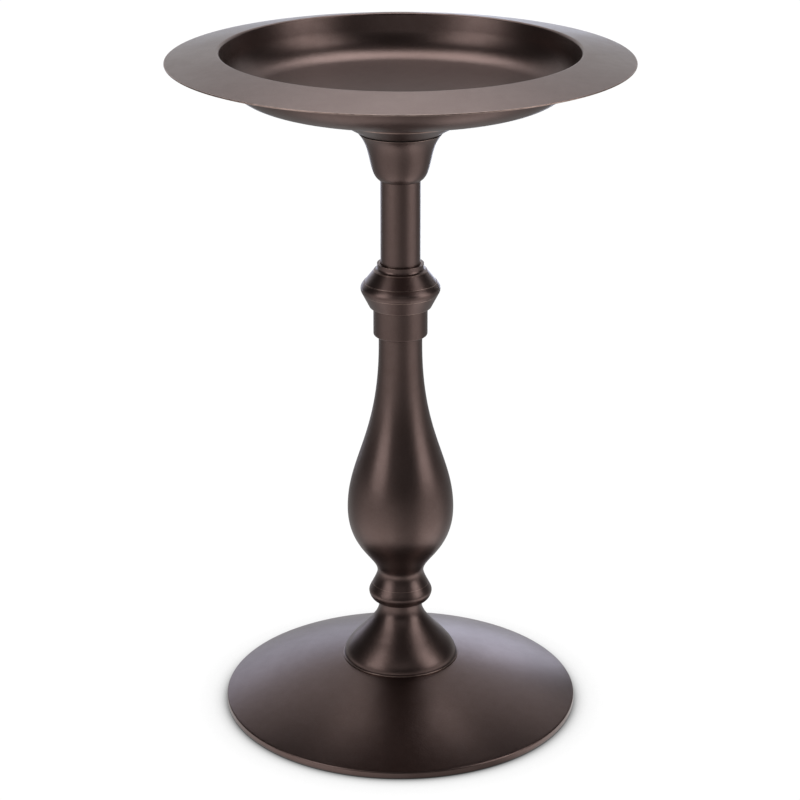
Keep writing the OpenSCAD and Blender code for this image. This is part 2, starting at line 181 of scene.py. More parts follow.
def turned(name, outline, edge=None, steps=256, limit=None, smooth=True):
    """A closed outline carried round the Z axis: (r, z) at angle a becomes (r cos a, r sin a, z).

    Points on the axis become one pole. The attribute bend is 1 on the rounded edges and -1 in the
    hollow corners. limit(a), if given, is the greatest radius at the angle a, which makes the flats
    of a nut.
    """
    edge = np.zeros(len(outline)) if edge is None else edge
    if enclosed(outline) < 0:
        outline, edge = outline[::-1], edge[::-1]
    angle = np.arange(steps) * 2 * np.pi / steps
    r, z = outline.T
    radii = np.tile(r, (steps, 1))
    if limit is not None:
        radii = np.minimum(radii, limit(angle)[:, None])
    cos, sin = np.cos(angle)[:, None], np.sin(angle)[:, None]
    grid = np.stack([cos * radii, sin * radii, np.tile(z, (steps, 1))], -1)
    count = len(outline)
    i, j = np.meshgrid(np.arange(steps), np.arange(count), indexing="ij")
    i2, j2 = (i + 1) % steps, (j + 1) % count
    quads = np.stack([i * count + j, i2 * count + j, i2 * count + j2, i * count + j2], -1)
    on_axis = (r < 1e-9) & (np.roll(r, -1) < 1e-9)
    quads = quads[:, ~on_axis].reshape(-1, 4)
    mesh = bpy.data.meshes.new(name)
    mesh.from_pydata(grid.reshape(-1, 3), [], quads.tolist())
    bend = mesh.attributes.new("bend", "FLOAT", "POINT")
    bend.data.foreach_set("value", np.tile(edge, steps).astype(np.float32))
    if np.any(r < 1e-9):
        merge_pole(mesh)
    if smooth:
        mesh.shade_smooth()
    piece = bpy.data.objects.new(name, mesh)
    bpy.context.scene.collection.objects.link(piece)
    return piece


# ---- Measures of the object, in metres ----

BOWL_D = 508 * MM
LIP_D = 395.4 * MM
RIM_SLOPE = 10.5
WALL_LEAN = 80
FLOOR_SLOPE = 15
CORNER_R = 41 * MM
LIP_R = 3 * MM
BOWL_T = 1.5 * MM
FLANGE_D = 144 * MM
FLANGE_FLAT_D = 92 * MM
FLANGE_SLOPE = 29.8
FLANGE_T = 2 * MM
BOSS_D = 19 * MM
BOSS_SHOULDER_D = 28 * MM
BOSS_SHOULDER_T = 3 * MM
SEAL_ID = 78 * MM
SEAL_OD = 88 * MM

CUP_TOP_D = 92.4 * MM
CUP_WAIST_D = 66.4 * MM
CUP_WAIST_H = 20.4 * MM
CUP_T = 2 * MM
CUP_FLOOR_T = 3 * MM
CUP_EDGE_T = 0.4 * MM
CUP_LEANS = (31, 77, 49)  # at its foot, waist and top edge

TUBE_D = 44.45 * MM
TUBE_T = 1.5 * MM
SLIP_GAP = 0.15 * MM

NECK_RING_D = 52.4 * MM
NECK_RING_FOOT_D = 59 * MM
NECK_RING_FOOT_T = 0.6 * MM
UPPER_CONE_TOP_D = 59.6 * MM
UPPER_CONE_D = 80.6 * MM
CONE_T = 1.5 * MM
BEAD_D = 89.2 * MM
BEAD_FOOT_D = 86 * MM
BEAD_WEB_T = 6 * MM
BEAD_SPIGOT_L = 5 * MM
BEAD_LEDGE = 0.6 * MM
BEAD_BELLY = 0.4
LOWER_CONE_LIP_D = 69.2 * MM
SLEEVE_D = 60.8 * MM
SLEEVE_T = 1.5 * MM
SLEEVE_R = 2.5 * MM

NECK_D = 49 * MM
BELLY_D = 121.8 * MM
WAIST_D = 53.4 * MM
NECK_L = 60.7 * MM
BELLY_TO_NECK = 199.8 * MM
WAIST_TO_BELLY = 79.5 * MM
BALUSTER_T = 2 * MM

KNOP_D = 73 * MM
SEAM_D = 64.8 * MM
SEAM_LEAN = 27
KNOP_H = 11.1 * MM
RING_H = 20.9 * MM
RING_FOOT_D = 56 * MM
RING_WEB_T = 6 * MM
SEAM_LEDGE_W = 1.6 * MM

BELL_NECK_D = 49.2 * MM
BELL_D = 131.4 * MM
BELL_TURN_D = 91 * MM
BELL_TURN_H = 31.4 * MM
BELL_TURN_LEAN = 47.5
BELL_NECK_H = 4.4 * MM
BELL_RIM_W = 1.5 * MM
BELL_RIM_H = 2.4 * MM
BELL_RIM_STEP = 1 * MM
BELL_T = 2 * MM

BASE_D = 410 * MM
BASE_LIP_H = 9 * MM
DOME_R = 643 * MM
BASE_BEND_R = 2.5 * MM
HEM_W = 8 * MM
BASE_T = 2 * MM
ROD_HOLE_R = 5.5 * MM

ROD_D = 10 * MM
ROD_PITCH = 1.5 * MM
NUT_AF = 17 * MM
NUT_FACE = 0.95  # of the width across the flats, where the chamfer starts
NUT_BORE_R = ROD_D / 2 + 0.05 * MM
NUT_MOUTH = 0.7 * MM
WASHER_D = 30 * MM
WEIGHT_D = 128 * MM

# Rounding of the edges, by the way they are made
CUT_R = 0.3 * MM
TURNED_R = 0.4 * MM
SPUN_R = 0.5 * MM
CONE_LIP_R = 0.6 * MM
FLANGE_BEND_R = 1 * MM
NECK_RING_R = 1.2 * MM
WEIGHT_EDGE_R = 3 * MM

# Handles of the curves, as shares of the height that each spans, from the ground up
BELL_PULL = (0.33, 0.14, 0.48, 0.37)
KNOP_PULL = (0.49, 0.47, 0.22, 0.45)
BALUSTER_PULL = (0.4, 0.26, 0.24, 0.61, 0.3, 0.56)
CUP_PULL = (0.34, 0.57, 0.37, 0.4)
BEAD_PULL = MM * np.array([[0.9, 1.4], [0, -1.8], [0, 3.2], [2.4, -3]])

UP = point(0, 1)
OUT = point(1, 0)


def low(node):
    """Height of a node's underside."""
    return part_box(node)[0].z


def high(node):
    """Height of a node's top."""
    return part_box(node)[1].z


# ---- Bowl ----

SEAT_Z = low("bowl_flange")
CREST_Z = high("bowl")
BOWL_Z = low("bowl")


def straight(start, end, hold=0.5 * MM):
    """A straight side with one more point close to each end, so that its shading stays flat."""
    along = unit(end - start) * hold
    return np.array([start, start + along, end - along, end])


def bowl_faces():
    """The bowl's upper face, edge and underside, each from the middle outwards.

    The floor is an arc about the axis, the corner an arc that touches both the floor and the wall,
    and the lip a small arc that touches both the wall and the straight rim.
    """
    lip_c = point(LIP_D / 2, CREST_Z - LIP_R)
    inner_r = CORNER_R - BOWL_T
    sin_w, cos_w = way(WALL_LEAN)[::-1]
    core_r = lip_c[0] * sin_w - inner_r - LIP_R - (lip_c[1] - BOWL_Z - CORNER_R) * cos_w
    core_r /= way(WALL_LEAN - FLOOR_SLOPE)[0] - cos_w
    floor_r = core_r + CORNER_R
    floor_c = point(0, BOWL_Z + floor_r)
    corner_c = floor_c + core_r * way(FLOOR_SLOPE - 90)
    rim_c = point(BOWL_D / 2 - BOWL_T / 2, 0)
    rim_c[1] = (lip_c[1] + (LIP_R - BOWL_T / 2) / way(RIM_SLOPE)[0]
                - (rim_c[0] - lip_c[0]) * np.tan(np.radians(RIM_SLOPE)))
    faces = []
    for depth in (BOWL_T, 0):
        floor = arc(floor_c, floor_r - depth, -90, FLOOR_SLOPE - 90, 40)
        corner = arc(corner_c, CORNER_R - depth, FLOOR_SLOPE - 90, WALL_LEAN - 90, 30)
        lip = arc(lip_c, LIP_R - BOWL_T + depth, 90 + WALL_LEAN, 90 - RIM_SLOPE, 16)
        rim_end = rim_c + (depth - BOWL_T / 2) * way(90 - RIM_SLOPE)
        faces.append(joined(floor, corner, straight(corner[-1], lip[0]), lip, straight(lip[-1], rim_end)))
    edge = arc(rim_c, BOWL_T / 2, 90 - RIM_SLOPE, -90 - RIM_SLOPE, 10)
    return faces[0], edge, faces[1]


def bowl_outline():
    """The bowl's faces joined by the half circle of its rolled edge, which gets the rubbed colour: part
    wear, part painted highlight.
    """
    top, edge, under = bowl_faces()
    outline = joined(top, edge, under[::-1])
    wear_and_highlight = np.zeros(len(outline))
    wear_and_highlight[len(top) - 1 : len(top) + len(edge) - 1] = 1
    return outline, wear_and_highlight


def flange_outline():
    """A saucer: flat middle, then a cone up to a short upright edge that meets the bowl's underside."""
    flat_r, outer_r = FLANGE_FLAT_D / 2, FLANGE_D / 2
    rise = (outer_r - flat_r) * np.tan(np.radians(FLANGE_SLOPE))
    under = bowl_faces()[2]
    inner_top = np.interp(outer_r - FLANGE_T, *under.T)
    outer_top = np.interp(outer_r, *under.T)
    lower = np.array([
        [BOSS_D / 2, SEAT_Z], [flat_r, SEAT_Z], [outer_r, SEAT_Z + rise], [outer_r, SEAT_Z + 2 * rise]])
    upper = beside(lower, FLANGE_T)
    lower[-1, 1], upper[-1, 1] = outer_top, inner_top
    return softened(joined(lower, upper[::-1]), FLANGE_BEND_R)


# ---- Cup and tube ----

CUP_Z = low("top_cup")
SEAL_Z = high("top_cup")
TUBE_Z = low("upper_tube")
TUBE_TOP = high("upper_tube")


def cup_outline():
    """The cup's side is two cubic curves that meet at its waist; its wall is a sheet inside them."""
    foot = point(TUBE_D / 2 + SLIP_GAP, CUP_Z)
    waist = point(CUP_WAIST_D / 2, CUP_Z + CUP_WAIST_H)
    top = point(CUP_TOP_D / 2, SEAL_Z - CUP_EDGE_T)
    flare_h = top[1] - waist[1]
    foot_way, waist_way, top_way = (way(lean) for lean in CUP_LEANS)
    lower = curve(foot, foot + CUP_PULL[0] * CUP_WAIST_H * foot_way,
                  waist - CUP_PULL[1] * CUP_WAIST_H * waist_way, waist)
    upper = curve(waist, waist + CUP_PULL[2] * flare_h * waist_way,
                  top - CUP_PULL[3] * flare_h * top_way, top)
    side = joined(lower, upper)
    wall = beside(side, CUP_T)
    floor_r = TUBE_D / 2 + 2 * CUP_T
    wall = wall[(wall[:, 1] > TUBE_TOP + CUP_FLOOR_T) & (wall[:, 1] < SEAL_Z - CUP_T)]
    mouth_r = wall[-1, 0] - CUP_T
    outline = joined(
        side, point(top[0], SEAL_Z), point(mouth_r, SEAL_Z), wall[::-1],
        point(floor_r, TUBE_TOP + CUP_FLOOR_T), point(ROD_HOLE_R, TUBE_TOP + CUP_FLOOR_T),
        point(ROD_HOLE_R, TUBE_TOP), point(foot[0], TUBE_TOP))
    return softened(outline, TURNED_R)


def tube_outline():
    """A plain tube: a tall rectangle, TUBE_T wide."""
    r = TUBE_D / 2
    return softened(np.array([
        [r - TUBE_T, TUBE_Z], [r, TUBE_Z], [r, TUBE_TOP], [r - TUBE_T, TUBE_TOP]]), CUT_R)


# ---- Collar ----

NECK_RING_Z = low("neck_ring")
NECK_RING_TOP = high("neck_ring")
UPPER_CONE_Z = low("upper_cone")
LIP_Z = low("lower_cone")
BEAD_Z = high("lower_cone")
SLEEVE_Z = low("sleeve")
WEB_Z = high("sleeve")


def neck_ring_outline():
    """A ring whose foot flares out along a quarter circle."""
    r, foot_r = NECK_RING_D / 2, NECK_RING_FOOT_D / 2
    flare = foot_r - r
    bore = TUBE_D / 2 + SLIP_GAP
    top = straight(point(r, NECK_RING_Z + NECK_RING_FOOT_T + flare), point(r, NECK_RING_TOP))
    return softened(joined(
        point(bore, NECK_RING_Z), point(foot_r, NECK_RING_Z),
        arc(point(foot_r, NECK_RING_Z + NECK_RING_FOOT_T + flare), flare, -90, -180, 14),
        top, point(bore, NECK_RING_TOP)), NECK_RING_R)


def upper_cone_outline():
    """A cone with a flat top that reaches in to the tube: a sheet inside its side."""
    path = np.array([
        [UPPER_CONE_D / 2, UPPER_CONE_Z], [UPPER_CONE_TOP_D / 2, NECK_RING_Z],
        [TUBE_D / 2 + SLIP_GAP, NECK_RING_Z]])
    inner = beside(path, CONE_T)
    slope = (inner[1] - inner[0]) / (inner[1, 1] - inner[0, 1])
    inner[0] += slope * (UPPER_CONE_Z - inner[0, 1])
    return softened(joined(path, inner[::-1]), SPUN_R)


def bead_outline():
    """The bead's side is two cubic curves that meet at its belly; a web reaches in to the rod."""
    height = UPPER_CONE_Z - BEAD_Z
    foot = point(BEAD_FOOT_D / 2, BEAD_Z)
    belly = point(BEAD_D / 2, BEAD_Z + BEAD_BELLY * height)
    top = point(UPPER_CONE_D / 2 + BEAD_LEDGE, UPPER_CONE_Z)
    lower = curve(foot, foot + BEAD_PULL[0], belly + BEAD_PULL[1], belly, 10)
    upper = curve(belly, belly + BEAD_PULL[2], top + BEAD_PULL[3], top, 20)
    rim_r = UPPER_CONE_D / 2 - 2 * CONE_T
    web_top = WEB_Z + BEAD_WEB_T
    spigot = (TUBE_D / 2 - TUBE_T - SLIP_GAP, TUBE_D / 2 - TUBE_T - 2 * CONE_T)
    plug_r = NECK_D / 2 - BALUSTER_T - SLIP_GAP
    return softened(joined(
        lower, upper, point(rim_r, UPPER_CONE_Z), point(rim_r, web_top),
        point(spigot[0], web_top), point(spigot[0], web_top + BEAD_SPIGOT_L),
        point(spigot[1], web_top + BEAD_SPIGOT_L), point(spigot[1], web_top),
        point(ROD_HOLE_R, web_top), point(ROD_HOLE_R, WEB_Z), point(spigot[1], WEB_Z),
        point(spigot[1], WEB_Z - BEAD_SPIGOT_L), point(plug_r, WEB_Z - BEAD_SPIGOT_L),
        point(plug_r, WEB_Z), point(rim_r, WEB_Z), point(rim_r, BEAD_Z)), TURNED_R, sharp=30)


def lower_cone_outline():
    """A cone that narrows downwards to a small flat lip: a sheet inside its side."""
    path = np.array([[SLEEVE_D / 2, LIP_Z], [LOWER_CONE_LIP_D / 2, LIP_Z], [BEAD_FOOT_D / 2, BEAD_Z]])
    inner = beside(path, CONE_T)
    slope = (inner[2] - inner[1]) / (inner[2, 1] - inner[1, 1])
    inner[2] += slope * (BEAD_Z - inner[2, 1])
    return softened(joined(path, inner[::-1]), CONE_LIP_R)


def sleeve_outline():
    """A straight sleeve that hangs from a flange; its lower edge rolls in on a quarter circle."""
    r = SLEEVE_D / 2
    roll = arc(point(r - SLEEVE_R, SLEEVE_Z + SLEEVE_R), SLEEVE_R, -90, 0, 12)
    path = joined(point(NECK_D / 2 + SLIP_GAP, SLEEVE_Z), roll,
                  straight(roll[-1], point(r, WEB_Z)), point(NECK_D / 2 - BALUSTER_T, WEB_Z))
    return softened(sheet(path, SLEEVE_T), CUT_R, sharp=40)


# ---- Baluster, knop and foot bell ----

SEAM_Z = low("baluster")
NECK_TOP = high("baluster")
BELL_Z = low("foot_bell")
RING_Z = high("foot_bell")
SEAM = point(SEAM_D / 2, SEAM_Z)
SEAM_WAY = way(90 + SEAM_LEAN)


def baluster_outline():
    """Seam, waist, belly and neck, joined by three cubic curves, with a straight neck above."""
    neck = point(NECK_D / 2, NECK_TOP - NECK_L)
    belly = point(BELLY_D / 2, neck[1] - BELLY_TO_NECK)
    waist = point(WAIST_D / 2, belly[1] - WAIST_TO_BELLY)
    pull = BALUSTER_PULL
    low_h, mid_h, top_h = waist[1] - SEAM_Z, WAIST_TO_BELLY, BELLY_TO_NECK
    path = joined(
        curve(SEAM, SEAM + pull[0] * low_h * SEAM_WAY, waist - pull[1] * low_h * UP, waist),
        curve(waist, waist + pull[2] * mid_h * UP, belly - pull[3] * mid_h * UP, belly, 40),
        curve(belly, belly + pull[4] * top_h * UP, neck - pull[5] * top_h * UP, neck, 60),
        point(neck[0], NECK_TOP))
    inner = beside(path, BALUSTER_T)
    inner[0] = point(inner[0, 0] + (inner[0, 1] - SEAM_Z) * SEAM_WAY[0] / SEAM_WAY[1], SEAM_Z)
    return softened(joined(path, inner[::-1]), SPUN_R, sharp=30)


def knop_outline():
    """The ring's side is two cubic curves that meet at its widest point."""
    foot = point(RING_FOOT_D / 2, RING_Z)
    wide = point(KNOP_D / 2, RING_Z + KNOP_H)
    upper_h = RING_H - KNOP_H
    under = curve(foot, foot + KNOP_PULL[0] * (wide[0] - foot[0]) * OUT,
                  wide - KNOP_PULL[1] * KNOP_H * UP, wide)
    over = curve(wide, wide + KNOP_PULL[2] * upper_h * UP, SEAM - KNOP_PULL[3] * upper_h * SEAM_WAY, SEAM)
    spigot_r = SEAM[0] - BALUSTER_T - SEAM_LEDGE_W
    spigot_z = high("knop_ring")
    foot_r = BELL_NECK_D / 2 - BELL_T - SLIP_GAP
    foot_z = low("knop_ring")
    return softened(joined(
        point(ROD_HOLE_R, foot_z), point(foot_r, foot_z), point(foot_r, RING_Z), under, over,
        point(spigot_r, SEAM_Z), point(spigot_r, spigot_z), point(spigot_r - BALUSTER_T, spigot_z),
        point(spigot_r - BALUSTER_T, RING_Z + RING_WEB_T), point(ROD_HOLE_R, RING_Z + RING_WEB_T)),
        SPUN_R, sharp=30)


def bell_outline():
    """Rim, shoulder, flare and neck; the shoulder and the flare are cubic curves."""
    rim_r = BELL_D / 2 + BELL_RIM_W
    neck = point(BELL_NECK_D / 2, RING_Z)
    neck_end = neck - BELL_NECK_H * UP
    turn = point(BELL_TURN_D / 2, BELL_Z + BELL_TURN_H)
    turn_way = way(180 - BELL_TURN_LEAN)
    shoulder = point(BELL_D / 2, BELL_Z + BELL_RIM_H)
    shoulder_h = turn[1] - shoulder[1]
    flare_h = neck_end[1] - turn[1]
    path = joined(
        point(rim_r, BELL_Z), point(rim_r, shoulder[1] - BELL_RIM_STEP), shoulder,
        curve(shoulder, shoulder + BELL_PULL[0] * shoulder_h * UP,
              turn - BELL_PULL[1] * shoulder_h * turn_way, turn),
        curve(turn, turn + BELL_PULL[2] * flare_h * turn_way,
              neck_end - BELL_PULL[3] * flare_h * UP, neck_end),
        neck)
    return softened(sheet(path, BELL_T), SPUN_R)


# ---- Base ----


def reach(p, a, q, b):
    """The point at distance a from p and b from q, to the right of the line from p to q."""
    d = np.linalg.norm(q - p)
    along = (a * a - b * b + d * d) / (2 * d)
    return p + (q - p) / d * along - left_of((q - p) / d) * np.sqrt(a * a - along * along)


def base_outline():
    """A dome whose arc runs into the bend at the edge, an upright lip and a hem folded in under it."""
    b = BASE_BEND_R
    base_r = BASE_D / 2
    seat = point(BELL_D / 2 + BELL_RIM_W, BELL_Z)
    upper_c = point(base_r - b, BASE_LIP_H - b)
    dome_c = reach(seat, DOME_R, upper_c, DOME_R - b)
    edge_a, seat_a = (np.degrees(np.arctan2(*(p - dome_c)[::-1])) for p in (upper_c, seat))
    path = joined(
        point(base_r - HEM_W, 0), arc(point(base_r - b, b), b, -90, 0, 12),
        arc(upper_c, b, 0, edge_a, 12), arc(dome_c, DOME_R, edge_a, seat_a, 60),
        point(ROD_HOLE_R, BELL_Z))
    return softened(sheet(path, BASE_T), TURNED_R, sharp=30)


# ---- Rod, nuts, washers, boss and weight ----


def ring_outline(node, inner, outer, edge_r):
    """A flat ring: a rectangle from the inner to the outer radius, as high as its node."""
    z, top = low(node), high(node)
    return softened(np.array([[inner, z], [outer, z], [outer, top], [inner, top]]), edge_r, steps=6)


def seal_outline():
    return ring_outline("bowl_washer", SEAL_ID / 2, SEAL_OD / 2, CUT_R)


def plain_washer_outline(node):
    return ring_outline(node, ROD_HOLE_R, WASHER_D / 2, TURNED_R)


def weight_outline():
    return ring_outline("base_weight", ROD_HOLE_R, WEIGHT_D / 2, WEIGHT_EDGE_R)


def boss_outline():
    """A tapped boss with a shoulder that stands under the flange."""
    z, top = low("bowl_boss"), high("bowl_boss")
    shoulder_z = SEAT_Z - BOSS_SHOULDER_T
    r, shoulder_r = BOSS_D / 2, BOSS_SHOULDER_D / 2
    return softened(np.array([
        [NUT_BORE_R, z], [r, z], [r, shoulder_z], [shoulder_r, shoulder_z], [shoulder_r, SEAT_Z],
        [r, SEAT_Z], [r, top], [NUT_BORE_R, top]]), TURNED_R)


def rod_outline():
    """A bar with chamfered ends. Its thread is relief in the finish."""
    r, z, top, chamfer = ROD_D / 2, low("tie_rod"), high("tie_rod"), ROD_PITCH / 2
    bar = np.array([
        [0, z], [r - chamfer, z], [r, z + chamfer], [r, top - chamfer], [r - chamfer, top], [0, top]])
    return bar, None


def nut_outline(node):
    """Chamfered at 30 degrees on both faces, with a countersunk bore. The flats come from hexagon."""
    z, top = low(node), high(node)
    corner_r, face_r = NUT_AF / 2 / way(30)[0], NUT_FACE * NUT_AF / 2
    drop = (corner_r - face_r) * np.tan(np.radians(30))
    nut = joined(
        point(NUT_BORE_R, z + NUT_MOUTH), point(NUT_BORE_R + NUT_MOUTH, z),
        np.linspace(point(face_r, z), point(corner_r, z + drop), 9),
        np.linspace(point(corner_r, top - drop), point(face_r, top), 9),
        point(NUT_BORE_R + NUT_MOUTH, top), point(NUT_BORE_R, top - NUT_MOUTH))
    return nut, None


def hexagon(angle):
    """Distance from the axis to the side of the nut's hexagon, which has a corner on +X."""
    return NUT_AF / 2 / np.cos(np.mod(angle, np.pi / 3) - np.pi / 6)


# ---- Pieces ----

# Node replaced, name, body that it rides on, outline
PIECES = [
    ("bowl", "bowl_shell", "basin", bowl_outline()),
    ("bowl_flange", "bowl_saucer", "basin", flange_outline()),
    ("bowl_boss", "threaded_boss", "basin", boss_outline()),
    ("bowl_washer", "rubber_seal", "seal", seal_outline()),
    ("top_cup", "trumpet_cup", "pedestal", cup_outline()),
    ("top_washer", "upper_washer", "pedestal", plain_washer_outline("top_washer")),
    ("top_nut", "upper_nut", "pedestal", nut_outline("top_nut")),
    ("upper_tube", "column_tube", "pedestal", tube_outline()),
    ("neck_ring", "collar_neck_ring", "pedestal", neck_ring_outline()),
    ("upper_cone", "collar_upper_cone", "pedestal", upper_cone_outline()),
    ("collar_bead", "collar_middle_bead", "pedestal", bead_outline()),
    ("lower_cone", "collar_lower_cone", "pedestal", lower_cone_outline()),
    ("sleeve", "collar_sleeve", "pedestal", sleeve_outline()),
    ("baluster", "vase_baluster", "pedestal", baluster_outline()),
    ("knop_ring", "knop_lower_ring", "pedestal", knop_outline()),
    ("foot_bell", "bell_foot", "pedestal", bell_outline()),
    ("base_dome", "domed_base", "pedestal", base_outline()),
    ("base_weight", "iron_weight", "pedestal", weight_outline()),
    ("bottom_washer", "lower_washer", "pedestal", plain_washer_outline("bottom_washer")),
    ("bottom_nut", "lower_nut", "pedestal", nut_outline("bottom_nut")),
    ("tie_rod", "threaded_rod", "pedestal", rod_outline()),
]
HARDWARE_STEPS = 96
HEX = {"steps": HARDWARE_STEPS, "limit": hexagon, "smooth": False}
TURNINGS = {"top_nut": HEX, "bottom_nut": HEX, "tie_rod": {"steps": HARDWARE_STEPS}}

# ---- Finishes ----


def new_group(name, inputs, outputs):
    tree = bpy.data.node_groups.new(name, "ShaderNodeTree")
    for socket, default in inputs:
        item = tree.interface.new_socket(socket, in_out="INPUT", socket_type="NodeSocketFloat")
        item.default_value = default
    for socket in outputs:
        tree.interface.new_socket(socket, in_out="OUTPUT", socket_type="NodeSocketFloat")
    return tree, tree.nodes.new("NodeGroupInput"), tree.nodes.new("NodeGroupOutput")


def place(tree, kind, links=(), **settings):
    """Adds a node. links are (input, source socket) pairs; settings are its properties."""
    node = tree.nodes.new(kind)
    for key, value in settings.items():
        setattr(node, key, value)
    for name, source in links:
        if isinstance(source, bpy.types.NodeSocket):
            tree.links.new(source, node.inputs[name])
        else:
            node.inputs[name].default_value = source
    return node


def maths(tree, operation, *values, clamp=False):
    inputs = list(enumerate(values))
    return place(tree, "ShaderNodeMath", inputs, operation=operation, use_clamp=clamp).outputs[0]


def noise(tree, scale, detail=2.0, rough=0.5):
    where = place(tree, "ShaderNodeTexCoord").outputs["Object"]
    return place(tree, "ShaderNodeTexNoise", [
        ("Vector", where), ("Scale", scale), ("Detail", detail), ("Roughness", rough)]).outputs[0]


def build_grain():
    """Relief of a sprayed coat: broad orange peel plus a finer grain, each a noise about its mean."""
    tree, given, out = new_group("coat_grain", [
        ("Peel scale", 450.0), ("Fine scale", 1800.0), ("Peel share", 0.6)], ["Relief"])
    peel = noise(tree, given.outputs["Peel scale"])
    fine = noise(tree, given.outputs["Fine scale"], detail=1.0)
    rest = maths(tree, "SUBTRACT", 1.0, given.outputs["Peel share"])
    relief = maths(tree, "ADD", maths(tree, "MULTIPLY", peel, given.outputs["Peel share"]),
                   maths(tree, "MULTIPLY", fine, rest))
    tree.links.new(relief, out.inputs["Relief"])
    return tree


def build_mottle():
    """Slow cloudiness from 0 to 1, with its contrast about one half set by Contrast."""
    tree, given, out = new_group("slow_mottle", [("Scale", 14.0), ("Contrast", 1.0)], ["Mottle"])
    cloud = noise(tree, given.outputs["Scale"], detail=4.0, rough=0.55)
    spread = maths(tree, "MULTIPLY", maths(tree, "SUBTRACT", cloud, 0.5), given.outputs["Contrast"])
    tree.links.new(maths(tree, "ADD", spread, 0.5, clamp=True), out.inputs["Mottle"])
    return tree


def build_bends():
    """Masks of rubbed edges, part wear and part painted highlight, and of hollow corners with painted shade,
    from the mesh's bend attribute.

    The wear and painted highlight on the edges is broken up by a noise; the painted shade lies evenly in the
    corners.
    """
    tree, given, out = new_group(
        "edge_bends", [("Wear", 0.5), ("Pool", 0.5), ("Scale", 160.0)], ["Worn", "Pooled"])
    bend = place(tree, "ShaderNodeAttribute", attribute_name="bend").outputs["Fac"]
    patch = maths(tree, "MULTIPLY", noise(tree, given.outputs["Scale"], detail=3.0), 1.6, clamp=True)
    edge = maths(tree, "MULTIPLY", maths(tree, "MAXIMUM", bend, 0.0), patch)
    hollow = maths(tree, "MAXIMUM", maths(tree, "MULTIPLY", bend, -1.0), 0.0)
    tree.links.new(maths(tree, "MULTIPLY", edge, given.outputs["Wear"]), out.inputs["Worn"])
    tree.links.new(maths(tree, "MULTIPLY", hollow, given.outputs["Pool"]), out.inputs["Pooled"])
    return tree


GRAIN = build_grain()
MOTTLE = build_mottle()
BENDS = build_bends()


def group(tree, node_tree, **values):
    """Adds a shared group. Gives its outputs, or the only one."""
    node = tree.nodes.new("ShaderNodeGroup")
    node.node_tree = node_tree
    for name, value in values.items():
        node.inputs[name.replace("_", " ")].default_value = value
    return node.outputs[0] if len(node.outputs) == 1 else tuple(node.outputs)


def start_material(name, **sockets):
    """A new material with a Principled BSDF whose constant sockets are set directly."""
    material = bpy.data.materials.new(name)
    material.use_nodes = True
    tree = material.node_tree
    tree.nodes.clear()
    shader = place(tree, "ShaderNodeBsdfPrincipled", [(k.replace("_", " "), v) for k, v in sockets.items()])
    place(tree, "ShaderNodeOutputMaterial", [("Surface", shader.outputs[0])])
    return material, tree, shader


def mix(tree, factor, a, b):
    """Colour a to colour b by factor."""
    node = tree.nodes.new("ShaderNodeMix")
    node.data_type = "RGBA"
    for socket, value in ((0, factor), (6, a), (7, b)):
        if isinstance(value, bpy.types.NodeSocket):
            tree.links.new(value, node.inputs[socket])
        else:
            node.inputs[socket].default_value = value
    return node.outputs[2]


def between(tree, value, low_end, high_end):
    """Maps 0..1 to low_end..high_end."""
    return place(tree, "ShaderNodeMapRange", [
        ("Value", value), ("To Min", low_end), ("To Max", high_end)]).outputs[0]


def bump(tree, height, distance, strength=1.0):
    return place(tree, "ShaderNodeBump", [
        ("Height", height), ("Distance", distance), ("Strength", strength)]).outputs[0]


BRONZE_DEEP = (0.104, 0.067, 0.059, 1)
BRONZE_WARM = (0.136, 0.094, 0.085, 1)
BRONZE_FLAKE = (0.220, 0.155, 0.135, 1)
# rubbed edges: part wear, part painted highlight
BRONZE_RUBBED_HIGHLIGHT = (0.400, 0.290, 0.250, 1)
# painted shade for the hollow corners
BRONZE_SHADE = (0.040, 0.026, 0.023, 1)
ZINC_DULL = (0.44, 0.45, 0.45, 1)
ZINC_BRIGHT = (0.62, 0.62, 0.58, 1)
THREAD_ROOT_SHADE = (0.20, 0.20, 0.19, 1)
THREAD_CREST = (0.60, 0.60, 0.57, 1)
IRON_BLACK = (0.030, 0.029, 0.028, 1)
IRON_RUST = (0.075, 0.062, 0.052, 1)
RUBBER_BLACK = (0.014, 0.014, 0.015, 1)
RUBBER_BLOOM = (0.030, 0.030, 0.031, 1)


